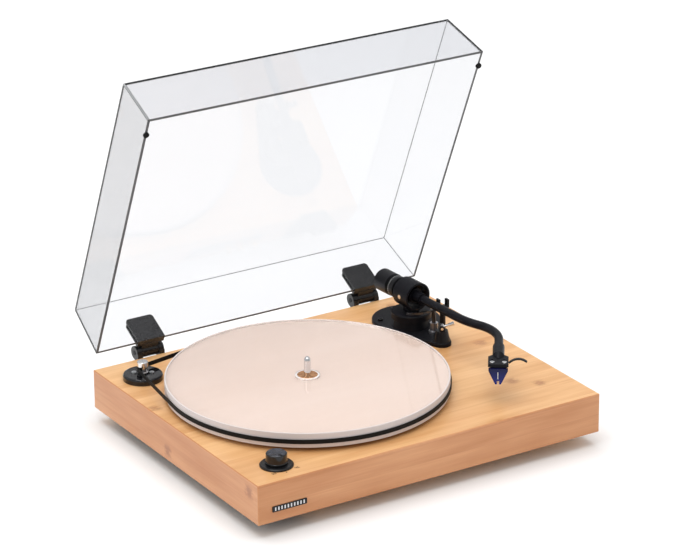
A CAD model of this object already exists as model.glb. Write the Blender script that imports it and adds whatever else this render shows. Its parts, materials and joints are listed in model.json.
"""Belt-drive record player: finishes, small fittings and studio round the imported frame."""

import json
import math

import bmesh
import bpy
from mathutils import Matrix, Vector


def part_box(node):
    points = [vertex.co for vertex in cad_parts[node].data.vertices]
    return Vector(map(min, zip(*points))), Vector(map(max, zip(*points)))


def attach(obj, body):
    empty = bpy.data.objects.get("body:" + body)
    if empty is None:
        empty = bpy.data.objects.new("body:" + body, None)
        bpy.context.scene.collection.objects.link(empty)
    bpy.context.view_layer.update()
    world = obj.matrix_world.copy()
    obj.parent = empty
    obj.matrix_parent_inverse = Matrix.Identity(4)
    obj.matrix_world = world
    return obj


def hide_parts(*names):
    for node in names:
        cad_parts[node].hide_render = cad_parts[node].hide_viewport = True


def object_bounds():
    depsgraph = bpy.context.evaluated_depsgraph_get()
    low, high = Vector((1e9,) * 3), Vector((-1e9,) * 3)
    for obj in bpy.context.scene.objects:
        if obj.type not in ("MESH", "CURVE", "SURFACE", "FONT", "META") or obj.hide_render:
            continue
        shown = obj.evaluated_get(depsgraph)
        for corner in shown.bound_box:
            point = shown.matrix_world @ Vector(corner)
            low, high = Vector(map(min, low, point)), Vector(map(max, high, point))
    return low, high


MM = 0.001

# platter
CLEAR_LAYER = 5.0 * MM
RIM_WIDTH = 1.6 * MM
LABEL_RADIUS = 50.5 * MM
LABEL_DEPTH = 0.35 * MM
LABEL_SLOPE = 1.2 * MM
EASED_EDGE = 0.6 * MM
LAYER_GAP = 0.02 * MM

# bamboo
STRIP_WIDTH = 20.5 * MM
JOINT_SPACING = 270.0 * MM

# dust cover
COVER_WALL = 3.0 * MM
COVER_ROUNDING = 1.5 * MM

# meshes
ROUND_STEPS = 256
SHARP_ANGLE = math.radians(35.0)
BEVEL_ANGLE = math.radians(40.0)
FLAT_ANGLE = math.radians(0.6)
QUARTER_TURN = math.radians(90.0)

# cartridge wires
LEAD_RADIUS = 0.4 * MM
LEAD_SPACING = 2.6 * MM

# studio
SKY_LIGHT = 0.86
HORIZON_LIGHT = 0.40
FLOOR_REACH = 20.0
FLOOR_GAP = 0.2 * MM

# camera
AZIMUTH = math.radians(32.0)
ELEVATION = math.radians(22.0)
ROLL = math.radians(-0.37)
DISTANCE = 3.587
TARGET = (0.0737, 0.0299, 0.0797)
FOCAL_LENGTH = 173.53
SENSOR_WIDTH = 36.0
SHIFT = (-0.00158, 0.0010)

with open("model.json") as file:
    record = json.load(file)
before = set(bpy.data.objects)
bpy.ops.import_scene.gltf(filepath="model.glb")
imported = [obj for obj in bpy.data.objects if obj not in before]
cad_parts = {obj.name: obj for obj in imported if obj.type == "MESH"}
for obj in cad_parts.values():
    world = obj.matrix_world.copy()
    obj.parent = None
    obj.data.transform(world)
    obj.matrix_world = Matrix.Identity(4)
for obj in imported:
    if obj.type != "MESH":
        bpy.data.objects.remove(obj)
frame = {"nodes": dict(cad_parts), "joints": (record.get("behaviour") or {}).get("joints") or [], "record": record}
cad_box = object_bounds()
nodes = frame["nodes"]
joints = {joint["name"]: joint for joint in frame["joints"]}
slot_of_node = {part["node"]: part["material_slot"] for part in frame["record"]["subparts"]}
body_of_node = {
    node: body for body, members in frame["record"]["behaviour"]["bodies"].items()
    for node in members
}


# ---- helpers for node trees ----


class Tree:
    """Adds nodes to one tree and joins them."""

    def __init__(self, tree):
        self.tree = tree

    def node(self, kind, **settings):
        made = self.tree.nodes.new(kind)
        for name, value in settings.items():
            setattr(made, name, value)
        return made

    def put(self, socket, value):
        """Links a socket to another, or sets its own value."""
        if isinstance(value, bpy.types.NodeSocket):
            self.tree.links.new(value, socket)
        else:
            socket.default_value = value

    def maths(self, operation, first, second=0.0, third=None, clamp=False):
        made = self.node("ShaderNodeMath", operation=operation, use_clamp=clamp)
        self.put(made.inputs[0], first)
        self.put(made.inputs[1], second)
        if third is not None:
            self.put(made.inputs[2], third)
        return made.outputs[0]

    def vector(self, operation, first, second):
        made = self.node("ShaderNodeVectorMath", operation=operation)
        self.put(made.inputs[0], first)
        self.put(made.inputs[1], second)
        return made.outputs[0]

    def split(self, vector):
        made = self.node("ShaderNodeSeparateXYZ")
        self.put(made.inputs[0], vector)
        return made.outputs

    def join(self, x, y, z):
        made = self.node("ShaderNodeCombineXYZ")
        for socket, value in zip(made.inputs, (x, y, z)):
            self.put(socket, value)
        return made.outputs[0]

    def noise(self, vector, scale, detail=2.0, roughness=0.5):
        made = self.node("ShaderNodeTexNoise")
        self.put(made.inputs["Vector"], vector)
        self.put(made.inputs["Scale"], scale)
        made.inputs["Detail"].default_value = detail
        made.inputs["Roughness"].default_value = roughness
        return made.outputs[0]

    def random(self, value):
        made = self.node("ShaderNodeTexWhiteNoise", noise_dimensions="1D")
        self.put(made.inputs["W"], value)
        return made.outputs["Value"]

    def remap(self, value, low, high, to_low, to_high, smooth=False):
        made = self.node("ShaderNodeMapRange", clamp=True)
        if smooth:
            made.interpolation_type = "SMOOTHSTEP"
        for socket, item in zip(made.inputs, (value, low, high, to_low, to_high)):
            self.put(socket, item)
        return made.outputs[0]

    def blend(self, factor, first, second, mode="MIX"):
        made = self.node("ShaderNodeMix", data_type="RGBA", blend_type=mode)
        self.put(made.inputs[0], factor)
        self.put(made.inputs[6], first)
        self.put(made.inputs[7], second)
        return made.outputs[2]

    def pick(self, factor, first, second):
        made = self.node("ShaderNodeMix", data_type="FLOAT")
        self.put(made.inputs[0], factor)
        self.put(made.inputs[2], first)
        self.put(made.inputs[3], second)
        return made.outputs[0]

    def place(self):
        return self.node("ShaderNodeTexCoord").outputs["Object"]

    def use(self, group, **values):
        """Places a node group and fills its named inputs."""
        made = self.node("ShaderNodeGroup", node_tree=group)
        for name, value in values.items():
            self.put(made.inputs[name.replace("_", " ")], value)
        return made.outputs

    def bump(self, height, strength, distance):
        made = self.node("ShaderNodeBump")
        made.inputs["Strength"].default_value = strength
        made.inputs["Distance"].default_value = distance
        self.put(made.inputs["Height"], height)
        return made.outputs[0]


def rgb(red, green, blue, alpha=1.0):
    return (red, green, blue, alpha)


def new_group(name, inputs, outputs):
    """Shader group with named sockets: its tree, its inputs and its output sockets."""
    group = bpy.data.node_groups.new(name, "ShaderNodeTree")
    kinds = {"float": "NodeSocketFloat", "vector": "NodeSocketVector", "color": "NodeSocketColor"}
    for label, kind, value in inputs:
        socket = group.interface.new_socket(name=label, in_out="INPUT", socket_type=kinds[kind])
        if value is not None:
            socket.default_value = value
    for label, kind in outputs:
        group.interface.new_socket(name=label, in_out="OUTPUT", socket_type=kinds[kind])
    tree = Tree(group)
    entry = tree.node("NodeGroupInput")
    leave = tree.node("NodeGroupOutput")
    return group, tree, entry.outputs, leave.inputs


# ---- shared effects ----


def speckle_group():
    """Fine grain of moulded plastic, paint or cast metal."""
    group, t, given, out = new_group(
        "fine_speckle",
        [("Place", "vector", None), ("Scale", "float", 900.0),
         ("Smoothest", "float", 0.3), ("Roughest", "float", 0.45)],
        [("Roughness", "float"), ("Height", "float"), ("Cloud", "float")],
    )
    fine = t.noise(given["Place"], given["Scale"], 3.0, 0.6)
    cloud = t.noise(given["Place"], 14.0, 2.0, 0.5)
    mixed = t.maths("ADD", t.maths("MULTIPLY", fine, 0.6), t.maths("MULTIPLY", cloud, 0.4))
    t.put(out["Roughness"], t.remap(mixed, 0.3, 0.7, given["Smoothest"], given["Roughest"]))
    t.put(out["Height"], fine)
    t.put(out["Cloud"], cloud)
    return group


def turned_group():
    """Rings and streaks that a lathe leaves round an axis."""
    group, t, given, out = new_group(
        "turned_rings",
        [("Place", "vector", None), ("Centre", "vector", None), ("Pitch", "float", 0.0003),
         ("Streaks", "float", 24.0)],
        [("Height", "float"), ("Streak", "float"), ("Radius", "float")],
    )
    near = t.split(t.vector("SUBTRACT", given["Place"], given["Centre"]))
    square = t.maths("ADD", t.maths("MULTIPLY", near[0], near[0]),
                     t.maths("MULTIPLY", near[1], near[1]))
    radius = t.maths("SQRT", square)
    turn = t.maths("ARCTAN2", near[1], near[0])
    wave = t.maths("SINE", t.maths("DIVIDE", radius, given["Pitch"]))
    spread = t.join(t.maths("COSINE", turn), t.maths("SINE", turn), 0.0)
    streak = t.noise(spread, given["Streaks"], 2.0, 0.6)
    t.put(out["Height"], wave)
    t.put(out["Streak"], streak)
    t.put(out["Radius"], radius)
    return group


def handling_group():
    """Dust and faint finger marks that gather on a surface that faces up."""
    group, t, given, out = new_group(
        "handling",
        [("Place", "vector", None), ("Amount", "float", 1.0)],
        [("Mask", "float")],
    )
    smudge = t.remap(t.noise(given["Place"], 30.0, 3.0, 0.6), 0.5, 0.75, 0.0, 0.6)
    dust = t.remap(t.noise(given["Place"], 2400.0, 1.0, 0.5), 0.68, 0.74, 0.0, 1.0)
    t.put(out["Mask"], t.maths("MULTIPLY", t.maths("ADD", smudge, dust, clamp=True),
                               given["Amount"]))
    return group


def strip_group():
    """Bamboo strips side by side, with fibres along them and a joint mark here and there."""
    group, t, given, out = new_group(
        "bamboo_strips",
        [("Along", "float", 0.0), ("Across", "float", 0.0), ("Seed", "float", 0.0),
         ("Strip Width", "float", 0.02), ("Joint Spacing", "float", 0.26)],
        [("Tone", "float"), ("Fibre", "float"), ("Joint", "float"), ("Seam", "float"),
         ("Streak", "float")],
    )
    wave = t.noise(t.join(t.maths("MULTIPLY", given["Along"], 3.0),
                          t.maths("MULTIPLY", given["Across"], 9.0), given["Seed"]), 1.0)
    across = t.maths("ADD", given["Across"], t.maths("MULTIPLY", wave, 0.004))
    place = t.maths("DIVIDE", across, given["Strip Width"])
    number = t.maths("FLOOR", place)
    inside = t.maths("FRACT", place)
    seed = t.maths("ADD", number, t.maths("MULTIPLY", given["Seed"], 31.0))
    chance = t.random(seed)
    other = t.random(t.maths("ADD", seed, 0.37))
    # slow change of tone along each strip
    flow = t.noise(t.join(t.maths("ADD", t.maths("MULTIPLY", given["Along"], 7.0),
                                  t.maths("MULTIPLY", chance, 50.0)),
                          t.maths("MULTIPLY", across, 60.0), given["Seed"]), 1.0, 3.0, 0.55)
    streak = t.noise(t.join(t.maths("MULTIPLY", given["Along"], 5.0),
                            t.maths("MULTIPLY", across, 190.0), given["Seed"]), 1.0, 2.0, 0.5)
    broad = t.noise(t.join(t.maths("MULTIPLY", given["Along"], 4.0),
                           t.maths("MULTIPLY", across, 11.0), given["Seed"]), 1.0, 2.0, 0.5)
    tone = t.maths("ADD", t.maths("MULTIPLY", flow, 0.5), t.maths("MULTIPLY", broad, 0.5))
    tone = t.maths("ADD", tone, t.maths("MULTIPLY", t.maths("SUBTRACT", chance, 0.5), 0.10))
    # long thin fibres
    fibre = t.noise(t.join(t.maths("MULTIPLY", given["Along"], 14.0),
                           t.maths("MULTIPLY", across, 900.0), given["Seed"]), 1.0, 3.0, 0.6)
    # joint marks of the cane
    run = t.maths("ADD", t.maths("DIVIDE", given["Along"], given["Joint Spacing"]), other)
    off = t.maths("MULTIPLY", t.maths("SUBTRACT", t.maths("FRACT", run), 0.5),
                  given["Joint Spacing"])
    ragged = t.noise(t.join(t.maths("MULTIPLY", given["Along"], 160.0),
                            t.maths("MULTIPLY", across, 260.0), seed), 1.0, 3.0, 0.6)
    off = t.maths("ADD", off, t.maths("MULTIPLY", t.maths("SUBTRACT", ragged, 0.5), 0.022))
    near = t.remap(t.maths("ABSOLUTE", off), 0.0, 0.010, 1.0, 0.0, smooth=True)
    middle = t.remap(t.maths("ABSOLUTE", t.maths("SUBTRACT", inside, 0.5)), 0.1, 0.5, 1.0, 0.0,
                     smooth=True)
    shown = t.maths("GREATER_THAN",
                    t.random(t.maths("ADD", seed, t.maths("FLOOR", run))), 0.55)
    joint = t.maths("MULTIPLY", t.maths("MULTIPLY", near, middle), shown)
    edge = t.maths("ABSOLUTE", t.maths("SUBTRACT", inside, 0.5))
    seam = t.remap(edge, 0.485, 0.5, 0.0, 1.0)
    t.put(out["Tone"], tone)
    t.put(out["Fibre"], fibre)
    t.put(out["Joint"], joint)
    t.put(out["Seam"], seam)
    t.put(out["Streak"], t.remap(streak, 0.56, 0.74, 0.0, 1.0))
    return group


SPECKLE = speckle_group()
TURNED = turned_group()
HANDLING = handling_group()
STRIPS = strip_group()


# ---- materials ----


def new_material(name):
    material = bpy.data.materials.new(name)
    material.use_nodes = True
    tree = Tree(material.node_tree)
    shader = material.node_tree.nodes["Principled BSDF"]
    return material, tree, shader


def set_values(shader, **values):
    for name, value in values.items():
        shader.inputs[name.replace("_", " ")].default_value = value


def bamboo():
    material, t, shader = new_material("lacquered_bamboo")
    coordinate = t.node("ShaderNodeTexCoord")
    x, y, z = t.split(coordinate.outputs["Object"])
    facing = t.split(coordinate.outputs["Normal"])
    side = t.maths("GREATER_THAN", t.maths("ABSOLUTE", facing[0]), 0.72)
    flat = t.maths("GREATER_THAN", t.maths("ABSOLUTE", facing[2]), 0.72)
    along = t.pick(side, x, y)
    across = t.pick(flat, z, y)
    seed = t.maths("ADD", t.maths("MULTIPLY", side, 3.0), t.maths("MULTIPLY", flat, 5.0))
    grain = t.use(STRIPS, Along=along, Across=across, Seed=seed, Strip_Width=STRIP_WIDTH,
                  Joint_Spacing=JOINT_SPACING)
    tone = t.remap(grain["Tone"], 0.36, 0.62, 0.0, 1.0)
    pale = rgb(0.85, 0.51, 0.24)
    warm = rgb(0.62, 0.30, 0.105)
    colour = t.blend(tone, warm, pale)
    fibre = t.remap(grain["Fibre"], 0.3, 0.75, 0.0, 1.0)
    colour = t.blend(t.maths("MULTIPLY", fibre, 0.30), colour, rgb(0.58, 0.27, 0.095))
    colour = t.blend(t.maths("MULTIPLY", grain["Streak"], 0.35), colour, rgb(0.60, 0.25, 0.08))
    colour = t.blend(t.maths("MULTIPLY", grain["Joint"], 0.7), colour, rgb(0.36, 0.14, 0.05))
    colour = t.blend(t.maths("MULTIPLY", grain["Seam"], 0.22), colour, rgb(0.42, 0.19, 0.07))
    edge_veneer = t.blend(flat, rgb(0.85, 0.69, 0.67), rgb(1.0, 1.0, 1.0))
    colour = t.blend(1.0, colour, edge_veneer, "MULTIPLY")
    t.put(shader.inputs["Base Color"], colour)
    marks = t.use(HANDLING, Place=coordinate.outputs["Object"], Amount=0.12)
    rough = t.maths("ADD", t.remap(fibre, 0.0, 1.0, 0.30, 0.40), marks["Mask"])
    t.put(shader.inputs["Roughness"], rough)
    height = t.maths("ADD", t.maths("MULTIPLY", grain["Fibre"], 0.7),
                     t.maths("MULTIPLY", grain["Seam"], -0.8))
    t.put(shader.inputs["Normal"], t.bump(height, 0.10, 0.0003))
    set_values(shader, Coat_Weight=0.25, Coat_Roughness=0.22, IOR=1.5)
    return material


def moulded(name, colour, smoothest, roughest, scale=1500.0, strength=0.12, coat=0.0,
            coat_roughness=0.1, dust=0.02, shine=0.16):
    """Black mouldings, castings and paint: one recipe with its own values."""
    material, t, shader = new_material(name)
    place = t.place()
    skin = t.use(SPECKLE, Place=place, Scale=scale, Smoothest=smoothest, Roughest=roughest)
    marks = t.use(HANDLING, Place=place, Amount=dust)
    lifted = tuple(min(1.0, c * 1.6 + 0.002) for c in colour) + (1.0,)
    tint = t.blend(t.remap(skin["Cloud"], 0.35, 0.7, 0.0, 0.6), rgb(*colour), lifted)
    t.put(shader.inputs["Base Color"], t.blend(marks["Mask"], tint, rgb(0.32, 0.31, 0.29)))
    t.put(shader.inputs["Roughness"], t.maths("ADD", skin["Roughness"], marks["Mask"]))
    t.put(shader.inputs["Normal"], t.bump(skin["Height"], strength, 0.0002))
    set_values(shader, Coat_Weight=coat, Coat_Roughness=coat_roughness,
               Specular_IOR_Level=shine)
    return material


def metal(name, colour, smoothest, roughest, scale=600.0, strength=0.06, stretch=(1, 1, 1)):
    """Plain or brushed metal; stretch draws the grain out along one way."""
    material, t, shader = new_material(name)
    mapping = t.node("ShaderNodeMapping")
    t.put(mapping.inputs["Vector"], t.place())
    mapping.inputs["Scale"].default_value = stretch
    skin = t.use(SPECKLE, Place=mapping.outputs[0], Scale=scale, Smoothest=smoothest,
                 Roughest=roughest)
    darker = tuple(c * 0.82 for c in colour) + (1.0,)
    t.put(shader.inputs["Base Color"], t.blend(skin["Cloud"], darker, rgb(*colour)))
    t.put(shader.inputs["Roughness"], skin["Roughness"])
    t.put(shader.inputs["Normal"], t.bump(skin["Height"], strength, 0.0001))
    set_values(shader, Metallic=1.0)
    return material


def turned_metal(name, colour, centre, smoothest, roughest, pitch=0.00035, strength=0.15,
                 contrast=0.25, streaks=7.0):
    """Metal turned on a lathe about one upright axis."""
    material, t, shader = new_material(name)
    rings = t.use(TURNED, Place=t.place(), Centre=centre, Pitch=pitch / math.tau, Streaks=streaks)
    darker = tuple(c * (1 - contrast) for c in colour) + (1.0,)
    shine = t.remap(rings["Streak"], 0.35, 0.65, 0.0, 1.0)
    t.put(shader.inputs["Base Color"], t.blend(shine, darker, rgb(*colour)))
    t.put(shader.inputs["Roughness"], t.remap(rings["Streak"], 0.3, 0.7, smoothest, roughest))
    t.put(shader.inputs["Normal"], t.bump(rings["Height"], strength, 0.00004))
    set_values(shader, Metallic=1.0)
    return material


def clear_plastic(name, colour, roughness, shade=0.9, index=1.49, sides=None):
    """Clear acrylic. It lets most light through to what stands behind it."""
    material, t, shader = new_material(name)
    path = t.node("ShaderNodeLightPath")
    t.put(shader.inputs["Alpha"],
          t.maths("SUBTRACT", 1.0, t.maths("MULTIPLY", path.outputs["Is Shadow Ray"], shade)))
    place = t.place()
    marks = t.use(HANDLING, Place=place, Amount=0.05)
    haze = t.noise(place, 9.0, 2.0, 0.5)
    deeper = tuple(c * 0.985 for c in colour) + (1.0,)
    tint = t.blend(haze, rgb(*colour), deeper)
    if sides:
        facing = t.split(t.node("ShaderNodeTexCoord").outputs["Normal"])
        x = t.split(place)[0]
        wall = t.maths("GREATER_THAN", t.maths("ABSOLUTE", facing[0]), 0.7)
        tint = t.blend(t.maths("MULTIPLY", wall, t.maths("LESS_THAN", x, 0.0)), tint, sides)
    t.put(shader.inputs["Base Color"], tint)
    t.put(shader.inputs["Roughness"], t.maths("ADD", marks["Mask"], roughness))
    set_values(shader, Transmission_Weight=1.0, IOR=index)
    return material


def smoke_blue():
    """Deep blue see-through plastic of the needle holder."""
    material, t, shader = new_material("deep_blue_plastic")
    place = t.place()
    skin = t.use(SPECKLE, Place=place, Scale=900.0, Smoothest=0.08, Roughest=0.18)
    low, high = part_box("stylus_holder")
    drop = t.remap(t.split(place)[2], low.z, high.z, 0.0, 1.0)
    colour = t.blend(drop, rgb(0.012, 0.016, 0.17), rgb(0.003, 0.003, 0.022))
    colour = t.blend(t.maths("MULTIPLY", skin["Cloud"], 0.1), colour, rgb(0.03, 0.05, 0.42))
    t.put(shader.inputs["Base Color"], colour)
    t.put(shader.inputs["Roughness"], skin["Roughness"])
    set_values(shader, Transmission_Weight=0.0, IOR=1.45, Specular_IOR_Level=0.3)
    return material


spindle_low, spindle_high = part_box("spindle")
knob_low, knob_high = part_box("speed_knob")
spindle_axis = (spindle_low + spindle_high) / 2
knob_axis = (knob_low + knob_high) / 2

BLACK = (0.006, 0.006, 0.007)
FINISH = {
    "bamboo": bamboo(),
    "black_board": moulded("black_board", (0.02, 0.02, 0.021), 0.5, 0.65, 700.0, 0.3),
    "zinc_screw": metal("zinc_plated_screw", (0.70, 0.71, 0.73), 0.22, 0.38),
    "black_moulding": moulded("black_moulding", BLACK, 0.24, 0.36, 1100.0, 0.10, coat=0.3),
    "black_rubber": moulded("black_rubber", (0.005, 0.005, 0.005), 0.50, 0.70, 1300.0, 0.3),
    "clear_acrylic": moulded("milky_acrylic", (0.66, 0.62, 0.61), 0.08, 0.16, 900.0, 0.02,
                             dust=0.0, shine=0.5),
    "brass": turned_metal("turned_brass", (0.86, 0.43, 0.19), spindle_axis, 0.16, 0.34,
                          contrast=0.45),
    "bearing_bronze": turned_metal("bearing_bronze", (0.62, 0.45, 0.22), spindle_axis, 0.25, 0.4),
    "polished_steel": metal("polished_steel", (0.80, 0.80, 0.82), 0.06, 0.16, 900.0, 0.02,
                            (1, 1, 12)),
    "polished_aluminium": metal("polished_aluminium", (0.86, 0.86, 0.87), 0.10, 0.22, 500.0,
                                0.03, (1, 1, 8)),
    "bright_aluminium": metal("satin_aluminium", (0.55, 0.55, 0.57), 0.28, 0.42),
    "motor_steel": metal("motor_steel", (0.58, 0.58, 0.59), 0.28, 0.45, 500.0, 0.05, (1, 1, 20)),
    "gloss_black": moulded("gloss_black", (0.003, 0.003, 0.004), 0.10, 0.18, 500.0, 0.02,
                           coat=0.6, coat_roughness=0.03, dust=0.02),
    "printed_ink": moulded("printed_ink", (0.10, 0.06, 0.035), 0.5, 0.6, 2500.0, 0.05),
    "circuit_board": moulded("circuit_board", (0.02, 0.13, 0.05), 0.25, 0.4, 800.0, 0.2, coat=0.5),
    "dust_cover_acrylic": clear_plastic("dust_cover_acrylic", (0.86, 0.866, 0.885), 0.0, 0.93,
                                        1.35, rgb(0.71, 0.712, 0.72)),
    "hinge_black": moulded("hinge_black", BLACK, 0.20, 0.32, 900.0, 0.06, coat=0.5,
                           coat_roughness=0.15),
    "black_screw": metal("blackened_screw", (0.02, 0.02, 0.022), 0.25, 0.4),
    "satin_black_metal": moulded("satin_black_paint", (0.006, 0.006, 0.008), 0.30, 0.42, 1800.0,
                                 0.14, shine=0.10),
    "chrome": metal("chrome", (0.86, 0.87, 0.88), 0.04, 0.10, 700.0, 0.01),
    "black_steel": metal("blackened_steel", (0.030, 0.030, 0.033), 0.28, 0.40, 1200.0, 0.08),
    "black_plastic": moulded("black_plastic", BLACK, 0.30, 0.42, 1600.0, 0.12, coat=0.2),
    "blue_smoke": smoke_blue(),
    "grey_metal": metal("grey_metal", (0.10, 0.10, 0.105), 0.24, 0.36),
    "gold_plate": metal("gold_plate", (0.85, 0.62, 0.26), 0.12, 0.22, 700.0, 0.02),
    "white_insulator": moulded("white_insulator", (0.72, 0.70, 0.64), 0.35, 0.5, 1200.0, 0.1),
}


def frosted():
    """Frosted underside of the platter, seen through its clear body."""
    material, t, shader = new_material("frosted_acrylic")
    place = t.place()
    rings = t.use(TURNED, Place=place, Centre=spindle_axis, Pitch=0.0008 / math.tau, Streaks=3.0)
    skin = t.use(SPECKLE, Place=place, Scale=2200.0, Smoothest=0.55, Roughest=0.7)
    over = t.split(place)
    grain = t.use(STRIPS, Along=over[0], Across=over[1], Seed=5.0, Strip_Width=STRIP_WIDTH,
                  Joint_Spacing=JOINT_SPACING)
    under = t.remap(grain["Tone"], 0.3, 0.7, 0.0, 1.0)
    colour = t.blend(under, rgb(0.69, 0.535, 0.455), rgb(0.73, 0.585, 0.51))
    facing = t.split(t.node("ShaderNodeTexCoord").outputs["Normal"])
    low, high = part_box("platter")
    inside = t.maths("LESS_THAN", rings["Radius"], (high.x - low.x) / 2 - RIM_WIDTH - 0.1 * MM)
    flat = t.maths("MULTIPLY", inside, t.maths("GREATER_THAN", facing[2], 0.7))
    colour = t.blend(flat, rgb(0.66, 0.60, 0.585), colour)
    t.put(shader.inputs["Base Color"], colour)
    t.put(shader.inputs["Roughness"], skin["Roughness"])
    t.put(shader.inputs["Normal"], t.bump(skin["Height"], 0.2, 0.0001))
    set_values(shader, Specular_IOR_Level=0.2)
    return material


FROSTED = frosted()
COVER_CORNER = moulded("cover_corner", (0.24, 0.245, 0.25), 0.1, 0.2, 900.0, 0.02)
COVER_RIM = moulded("cover_rim", (0.12, 0.122, 0.125), 0.15, 0.25, 900.0, 0.03)
PLATTER_CLEAR = clear_plastic("platter_acrylic", (0.975, 0.975, 0.975), 0.03, 0.92)
PALE_INK = moulded("pale_ink", (0.62, 0.62, 0.60), 0.5, 0.6, 2500.0, 0.05)
KNOB_TOP = turned_metal("spun_black", (0.17, 0.18, 0.22), knob_axis, 0.16, 0.28, 0.0003, 0.35,
                        contrast=0.97, streaks=2.6)


# ---- mesh helpers ----


def place_object(name, mesh, *materials):
    made = bpy.data.objects.new(name, mesh)
    bpy.context.scene.collection.objects.link(made)
    for material in materials:
        made.data.materials.append(material)
    return made


def evaluated_mesh(made):
    """Plain mesh of an object with its modifiers taken in; the object is removed."""
    graph = bpy.context.evaluated_depsgraph_get()
    mesh = bpy.data.meshes.new_from_object(made.evaluated_get(graph))
    bpy.data.objects.remove(made)
    return mesh


def shade(mesh):
    """Smooth faces: sharp edges stay sharp, and the widest faces keep their own normal."""
    mesh.shade_smooth()
    mesh.set_sharp_from_angle(angle=SHARP_ANGLE)
    holder = place_object("shading", mesh)
    weigh = holder.modifiers.new("normals", "WEIGHTED_NORMAL")
    weigh.keep_sharp = True
    weigh.weight = 100
    ready = evaluated_mesh(holder)
    bpy.data.meshes.remove(mesh)
    return ready


def lathe(name, outline, centre):
    """Closed ring turned round an upright axis from (radius, height) corners."""
    shape = bmesh.new()
    rings = []
    for radius, height in outline:
        rings.append([
            shape.verts.new((centre[0] + radius * math.cos(math.tau * k / ROUND_STEPS),
                             centre[1] + radius * math.sin(math.tau * k / ROUND_STEPS), height))
            for k in range(ROUND_STEPS)])
    count = len(outline)
    for i in range(count):
        low, high = rings[i], rings[(i + 1) % count]
        for k in range(ROUND_STEPS):
            m = (k + 1) % ROUND_STEPS
            shape.faces.new((low[k], low[m], high[m], high[k]))
    bmesh.ops.recalc_face_normals(shape, faces=shape.faces)
    mesh = bpy.data.meshes.new(name)
    shape.to_mesh(mesh)
    shape.free()
    return shade(mesh)


def softened(node, width, finish):
    """Copy of a CAD piece with its edges rounded by a small bevel; it stands for the piece."""
    shape = bmesh.new()
    shape.from_mesh(nodes[node].data)
    bmesh.ops.remove_doubles(shape, verts=shape.verts, dist=1e-6)
    bmesh.ops.dissolve_limit(shape, angle_limit=FLAT_ANGLE, verts=shape.verts,
                             edges=shape.edges, delimit={"NORMAL"})
    mesh = bpy.data.meshes.new(node + "_shape")
    shape.to_mesh(mesh)
    shape.free()
    rough = place_object(node + "_rough", mesh)
    bevel = rough.modifiers.new("edge", "BEVEL")
    bevel.width = width
    bevel.segments = 2
    bevel.limit_method = "ANGLE"
    bevel.angle_limit = BEVEL_ANGLE
    bevel.use_clamp_overlap = True
    bevel.miter_outer = "MITER_ARC"
    ready = evaluated_mesh(rough)
    ready.materials.clear()
    made = place_object(node + "_finished", shade(ready), finish)
    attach(made, body_of_node[node])
    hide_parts(node)
    return made


# ---- geometry node trees ----


def new_geometry_tree(name, inputs):
    tree = bpy.data.node_groups.new(name, "GeometryNodeTree")
    kinds = {"float": "NodeSocketFloat", "int": "NodeSocketInt", "material": "NodeSocketMaterial"}
    for label, kind in inputs:
        tree.interface.new_socket(name=label, in_out="INPUT", socket_type=kinds[kind])
    tree.interface.new_socket(name="Geometry", in_out="OUTPUT", socket_type="NodeSocketGeometry")
    t = Tree(tree)
    return tree, t, t.node("NodeGroupInput").outputs, t.node("NodeGroupOutput").inputs


def one_block(t, given):
    """Block of the length, width and height that the tree is given."""
    block = t.node("GeometryNodeMeshCube")
    t.put(block.inputs["Size"], t.join(given["Length"], given["Width"], given["Height"]))
    return block.outputs["Mesh"]


def finish(t, instances, given, out):
    """Ends a tree: instances made real and given their material."""
    real = t.node("GeometryNodeRealizeInstances")
    t.put(real.inputs[0], instances)
    painted = t.node("GeometryNodeSetMaterial")
    t.put(painted.inputs["Geometry"], real.outputs[0])
    t.put(painted.inputs["Material"], given["Finish"])
    t.put(out["Geometry"], painted.outputs[0])


def mark_ring_tree():
    """Equal blocks round a circle, each pointing outwards."""
    tree, t, given, out = new_geometry_tree("mark_ring", [
        ("Count", "int"), ("Radius", "float"), ("Length", "float"), ("Width", "float"),
        ("Height", "float"), ("Finish", "material")])
    circle = t.node("GeometryNodeMeshCircle")
    t.put(circle.inputs["Vertices"], given["Count"])
    t.put(circle.inputs["Radius"], given["Radius"])
    block = one_block(t, given)
    position = t.node("GeometryNodeInputPosition")
    align = t.node("FunctionNodeAlignEulerToVector", axis="X", pivot_axis="Z")
    t.put(align.inputs["Vector"], position.outputs[0])
    spread = t.node("GeometryNodeInstanceOnPoints")
    t.put(spread.inputs["Points"], circle.outputs["Mesh"])
    t.put(spread.inputs["Instance"], block)
    t.put(spread.inputs["Rotation"], align.outputs[0])
    finish(t, spread.outputs[0], given, out)
    return tree


def mark_row_tree():
    """Equal blocks in a straight row along X, centred."""
    tree, t, given, out = new_geometry_tree("mark_row", [
        ("Count", "int"), ("Spacing", "float"), ("Length", "float"), ("Width", "float"),
        ("Height", "float"), ("Finish", "material")])
    line = t.node("GeometryNodeMeshLine")
    t.put(line.inputs["Count"], given["Count"])
    t.put(line.inputs["Offset"], t.join(given["Spacing"], 0.0, 0.0))
    span = t.maths("MULTIPLY", t.maths("SUBTRACT", given["Count"], 1.0), given["Spacing"])
    centred = t.node("GeometryNodeTransform")
    t.put(centred.inputs["Geometry"], line.outputs["Mesh"])
    t.put(centred.inputs["Translation"], t.join(t.maths("MULTIPLY", span, -0.5), 0.0, 0.0))
    block = one_block(t, given)
    spread = t.node("GeometryNodeInstanceOnPoints")
    t.put(spread.inputs["Points"], centred.outputs["Geometry"])
    t.put(spread.inputs["Instance"], block)
    finish(t, spread.outputs[0], given, out)
    return tree


MARK_RING = mark_ring_tree()
MARK_ROW = mark_row_tree()


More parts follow.
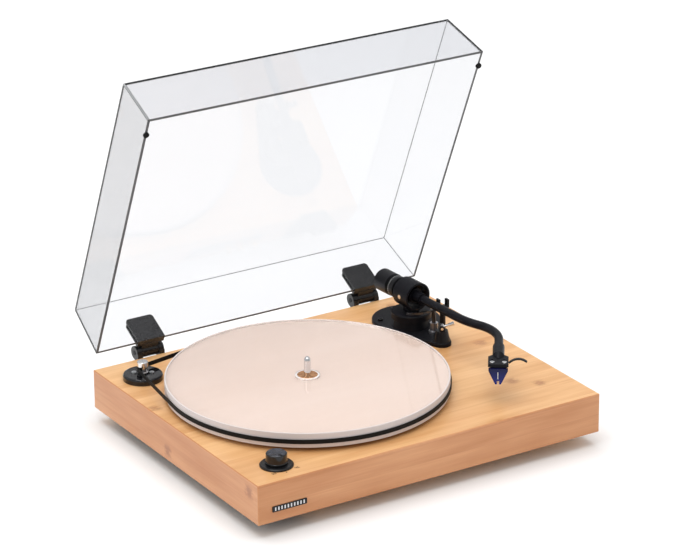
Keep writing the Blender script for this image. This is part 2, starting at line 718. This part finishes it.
def grown(name, tree, body, place, slot, **values):
    """Runs a geometry tree, puts the plain mesh in place and rides it on a body."""
    holder = place_object(name + "_source", bpy.data.meshes.new(name))
    modifier = holder.modifiers.new("grow", "NODES")
    modifier.node_group = tree
    for item in tree.interface.items_tree:
        label = item.name.replace(" ", "_")
        if item.in_out == "INPUT" and label in values:
            modifier[item.identifier] = values[label]
    mesh = evaluated_mesh(holder)
    mesh.transform(place)
    mesh.validate()
    made = place_object(name, mesh)
    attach(made, body)


# ---- finishes on the CAD pieces ----

# only the platter's slot has no finish here, because two made pieces stand for the platter
for node, slot in slot_of_node.items():
    if slot in FINISH:
        nodes[node].data.materials.clear()
        nodes[node].data.materials.append(FINISH[slot])


# ---- platter ----


def clear_platter():
    """Frosted body whose top is a tray filled with clear acrylic, with a shallow label recess."""
    low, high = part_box("platter")
    collar_low, collar_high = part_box("hub_collar")
    bore = (collar_high.x - collar_low.x) / 2 + LAYER_GAP
    radius = (high.x - low.x) / 2
    ease = EASED_EDGE
    face = high.z - CLEAR_LAYER
    tray = radius - RIM_WIDTH
    label = high.z - LABEL_DEPTH
    body = lathe("platter_body", [
        (bore, face), (tray - LAYER_GAP, face), (tray - LAYER_GAP, high.z),
        (LABEL_RADIUS, high.z), (LABEL_RADIUS - LABEL_SLOPE, label), (bore, label)],
        spindle_axis)
    under = lathe("platter_frosted_face", [
        (bore, low.z), (radius - ease, low.z), (radius - ease * 0.3, low.z + ease * 0.3),
        (radius, low.z + ease), (radius, high.z - ease),
        (radius - ease * 0.3, high.z - ease * 0.3), (radius - ease, high.z), (tray, high.z),
        (tray, face - LAYER_GAP), (bore, face - LAYER_GAP)], spindle_axis)
    body_object = place_object("platter_body", body, PLATTER_CLEAR)
    under_object = place_object("platter_frosted_face", under, FROSTED)
    for made in (body_object, under_object):
        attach(made, "turning_platter")
        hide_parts("platter")


clear_platter()


# ---- dust cover ----


def cover_shell():
    """Tapered clear box, open below, with darker polished edges, in its opened pose."""
    hinge = joints["lid_hinge"]
    axis = Vector(hinge["pos_m"])
    opening = math.radians(hinge["range_deg"][1])
    shut = Matrix.Translation(axis) @ Matrix.Rotation(opening, 4, "X") @ Matrix.Translation(-axis)
    corners = [shut @ v.co for v in nodes["dust_cover"].data.vertices]
    rim_z = min(c.z for c in corners)
    top_z = max(c.z for c in corners)
    rim = [c for c in corners if c.z < rim_z + 0.5 * MM]
    top = [c for c in corners if c.z > top_z - 0.5 * MM]
    shape = bmesh.new()
    loops = []
    for level, height in ((rim, rim_z), (top, top_z)):
        x0, x1 = min(c.x for c in level), max(c.x for c in level)
        y0, y1 = min(c.y for c in level), max(c.y for c in level)
        loops.append([shape.verts.new((x, y, height))
                      for x, y in ((x0, y0), (x1, y0), (x1, y1), (x0, y1))])
    below, above = loops
    shape.faces.new(above)
    for k in range(4):
        m = (k + 1) % 4
        shape.faces.new((below[k], below[m], above[m], above[k]))
    shape.normal_update()
    bmesh.ops.recalc_face_normals(shape, faces=shape.faces)
    edges = [e for e in shape.edges if len(e.link_faces) == 2]
    bmesh.ops.bevel(shape, geom=edges, offset=COVER_ROUNDING, segments=3, profile=0.5,
                    affect="EDGES", material=1)
    mesh = bpy.data.meshes.new("cover_shape")
    shape.to_mesh(mesh)
    shape.free()
    rough = place_object("cover_rough", mesh, FINISH["dust_cover_acrylic"], COVER_CORNER,
                         COVER_RIM)
    wall = rough.modifiers.new("wall", "SOLIDIFY")
    wall.thickness = COVER_WALL
    wall.offset = -1.0
    wall.use_even_offset = True
    wall.material_offset_rim = 2
    ready = evaluated_mesh(rough)
    ready.transform(shut.inverted())
    made = place_object("dust_cover_shell", shade(ready))
    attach(made, "lid")
    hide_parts("dust_cover")


cover_shell()


# ---- softened edges ----

EDGE = {
    "headshell": 0.45, "cartridge": 0.4, "arm_rest": 0.35, "hinge_leaves": 0.45,
    "hinge_brackets": 0.3, "rear_plate": 0.3, "badge": 0.15, "bottom_cover": 0.25,
}
for node, width in EDGE.items():
    softened(node, width * MM, FINISH[slot_of_node[node]])


def spun_top():
    """Speed knob with its flat top spun to a fine radial shine."""
    knob = softened("speed_knob", 0.5 * MM, FINISH["gloss_black"])
    knob.data.materials.append(KNOB_TOP)
    for face in knob.data.polygons:
        if face.normal.z > 0.98 and face.center.z > knob_high.z - 2.0 * MM:
            face.material_index = 1


spun_top()


# ---- marks and bars ----


def badge_bars():
    """Plain upright bars on the badge."""
    low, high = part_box("badge")
    middle = (low + high) / 2
    place = Matrix.Translation((middle.x, low.y, middle.z)) @ Matrix.Rotation(QUARTER_TURN, 4, "X")
    grown("badge_bars", MARK_ROW, "base", place, "zinc_screw", Count=10, Spacing=3.7 * MM,
          Length=1.5 * MM, Width=3.8 * MM, Height=0.12 * MM, Finish=FINISH["zinc_screw"])


badge_bars()


def arm_line():
    """A point on the arm's axis and its direction towards the back of the arm."""
    dial = joints["force_dial_turn"]
    return Vector(dial["pos_m"]), Vector(dial["axis"]).normalized()


def along_arm(node):
    """Place on the arm's axis at the middle of a node, with +Z towards the back of the arm."""
    start, axis = arm_line()
    low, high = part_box(node)
    middle = start + axis * ((low + high) / 2 - start).dot(axis)
    return Matrix.Translation(middle) @ axis.to_track_quat("Z", "Y").to_matrix().to_4x4()


def spread_across(node):
    """Greatest distance of a turned piece's surface from the arm's axis."""
    start, axis = arm_line()
    furthest = 0.0
    for vertex in nodes[node].data.vertices:
        away = vertex.co - start
        furthest = max(furthest, (away - axis * away.dot(axis)).length)
    return furthest


def dial_marks():
    """Ribs for the fingers and a printed scale round the tracking force dial."""
    place = along_arm("weight_dial")
    radius = spread_across("weight_dial")
    ribs = place @ Matrix.Translation((0, 0, -1.2 * MM))
    grown("dial_ribs", MARK_RING, "force_dial", ribs, "black_plastic", Count=44,
          Radius=radius - 0.1 * MM, Length=0.5 * MM, Width=0.8 * MM, Height=4.5 * MM,
          Finish=FINISH["black_plastic"])
    scale = place @ Matrix.Translation((0, 0, 2.6 * MM))
    grown("dial_scale", MARK_RING, "force_dial", scale, "printed_ink", Count=32,
          Radius=radius + 0.005 * MM, Length=0.06 * MM, Width=0.35 * MM, Height=1.5 * MM,
          Finish=PALE_INK)


dial_marks()


def swept(name, path, radius, body, finish):
    """Round wire along a smooth path."""
    curve = bpy.data.curves.new(name, "CURVE")
    curve.dimensions = "3D"
    curve.bevel_depth = radius
    curve.bevel_resolution = 2
    curve.use_fill_caps = True
    line = curve.splines.new("BEZIER")
    line.bezier_points.add(len(path) - 1)
    for knot, point in zip(line.bezier_points, path):
        knot.co = point
        knot.handle_left_type = knot.handle_right_type = "AUTO"
    source = bpy.data.objects.new(name + "_source", curve)
    bpy.context.scene.collection.objects.link(source)
    mesh = evaluated_mesh(source)
    mesh.materials.clear()
    mesh.shade_smooth()
    made = place_object(name, mesh, finish)
    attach(made, body)


def middle_of(points):
    """Middle of the box round some points."""
    return Vector([(min(c[k] for c in points) + max(c[k] for c in points)) / 2 for k in range(3)])


def head_frame():
    """Place of the headshell: +Y from its tip back to the arm, +X across it, +Z up."""
    points = [v.co for v in nodes["cartridge"].data.vertices]
    screws = [v.co for v in nodes["cartridge_screws"].data.vertices]
    centre = middle_of(points)
    between = middle_of(screws)
    left, right = (middle_of([c for c in screws if side * (c.x - between.x) > 0])
                   for side in (-1, 1))
    across = Vector((right.x - left.x, right.y - left.y, 0.0)).normalized()
    back = Vector((-across.y, across.x, 0.0))
    turn = Matrix((across, back, Vector((0, 0, 1)))).transposed().to_4x4()
    return Matrix.Translation(centre) @ turn


def cartridge_leads():
    """Four thin wires from the cartridge pins into the hollow of the headshell."""
    frame_here = head_frame()
    low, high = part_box("cartridge")
    drop = -0.15 * (high.z - low.z) / 2
    colours = {"red": (0.50, 0.02, 0.02), "green": (0.02, 0.25, 0.05),
               "blue": (0.02, 0.04, 0.40), "white": (0.65, 0.65, 0.62)}
    for number, (name, colour) in enumerate(colours.items()):
        across = (number - 1.5) * LEAD_SPACING
        path = [frame_here @ Vector(corner) for corner in (
            (across, 8.0 * MM, drop), (across, 11.0 * MM, drop + 0.6 * MM),
            (across * 0.8, 13.5 * MM, drop + 3.4 * MM),
            (across * 0.5, 16.5 * MM, drop + 5.4 * MM))]
        swept("lead_" + name, path, LEAD_RADIUS, "arm",
              moulded("lead_" + name, colour, 0.35, 0.5, 2500.0, 0.05, shine=0.4))


cartridge_leads()


def stylus_stripe():
    """Pale line down the front of the needle holder."""
    frame_here = head_frame()
    back = frame_here.inverted()
    points = [back @ v.co for v in nodes["stylus_holder"].data.vertices]
    tip = min(points, key=lambda c: c.y)
    foot = min(p.z for p in points)
    head = max(p.z for p in points)
    front_top = min(p.y for p in points if p.z > head - 0.3 * MM)
    slope = math.atan2(front_top - tip.y, head - foot)
    middle = Vector((0.0, (front_top + tip.y) / 2 - 0.02 * MM, (head + foot) / 2 + 1.0 * MM))
    place = (frame_here @ Matrix.Translation(middle) @ Matrix.Rotation(-slope, 4, "X")
             @ Matrix.Rotation(QUARTER_TURN, 4, "Y"))
    grown("stylus_stripe", MARK_ROW, "arm", place, "printed_ink", Count=5, Spacing=1.5 * MM,
          Length=1.1 * MM, Width=0.12 * MM, Height=0.9 * MM, Finish=PALE_INK)


stylus_stripe()


# ---- studio ----


def studio():
    low, high = cad_box
    floor_mesh = bpy.data.meshes.new("floor")
    shape = bmesh.new()
    bmesh.ops.create_grid(shape, x_segments=1, y_segments=1, size=FLOOR_REACH)
    shape.to_mesh(floor_mesh)
    shape.free()
    floor_mesh.transform(Matrix.Translation((0, 0, low[2] - FLOOR_GAP)))
    material, t, shader = new_material("pale_floor")
    cloud = t.noise(t.place(), 3.0, 2.0, 0.5)
    t.put(shader.inputs["Base Color"],
          t.blend(cloud, rgb(0.88, 0.88, 0.88), rgb(0.90, 0.90, 0.90)))
    set_values(shader, Roughness=0.9, Specular_IOR_Level=0.1)
    place_object("floor", floor_mesh, material)

    world = bpy.data.worlds.new("studio")
    bpy.context.scene.world = world
    world.use_nodes = True
    t = Tree(world.node_tree)
    sky = world.node_tree.nodes["Background"]
    sky.inputs["Color"].default_value = rgb(1.0, 1.0, 1.0)
    seen = t.node("ShaderNodeLightPath").outputs["Is Camera Ray"]
    rise = t.split(t.node("ShaderNodeTexCoord").outputs["Generated"])[2]
    glow = t.remap(rise, 0.0, 0.8, HORIZON_LIGHT, SKY_LIGHT)
    t.put(sky.inputs["Strength"], t.pick(seen, glow, 1.0))
    bpy.context.scene.view_settings.view_transform = "Standard"

    def lamp(name, place, target, size, power):
        light = bpy.data.lights.new(name, "AREA")
        light.shape = "SQUARE"
        light.size = size
        light.energy = power
        made = bpy.data.objects.new(name, light)
        bpy.context.scene.collection.objects.link(made)
        made.location = place
        aim = Vector(target) - Vector(place)
        made.rotation_euler = aim.to_track_quat("-Z", "Y").to_euler()

    lamp("top", (-0.3, 0.3, 4.0), (0.0, 0.3, 0.0), 4.0, 118.0)
    lamp("left", (-2.6, -0.4, 1.3), (0.0, 0.0, 0.0), 1.4, 8.0)


studio()


def camera():
    forward = Vector((math.sin(AZIMUTH) * math.cos(ELEVATION),
                      math.cos(AZIMUTH) * math.cos(ELEVATION), -math.sin(ELEVATION)))
    right = Vector((math.cos(AZIMUTH), -math.sin(AZIMUTH), 0.0))
    up = right.cross(forward)
    turn = Matrix((right, up, -forward)).transposed().to_4x4() @ Matrix.Rotation(ROLL, 4, "Z")
    lens = bpy.data.cameras.new("camera")
    lens.lens = FOCAL_LENGTH
    lens.sensor_width = SENSOR_WIDTH
    lens.shift_x, lens.shift_y = SHIFT
    lens.clip_end = 100.0
    made = bpy.data.objects.new("camera", lens)
    bpy.context.scene.collection.objects.link(made)
    made.matrix_world = Matrix.Translation(Vector(TARGET) - forward * DISTANCE) @ turn
    bpy.context.scene.camera = made


camera()
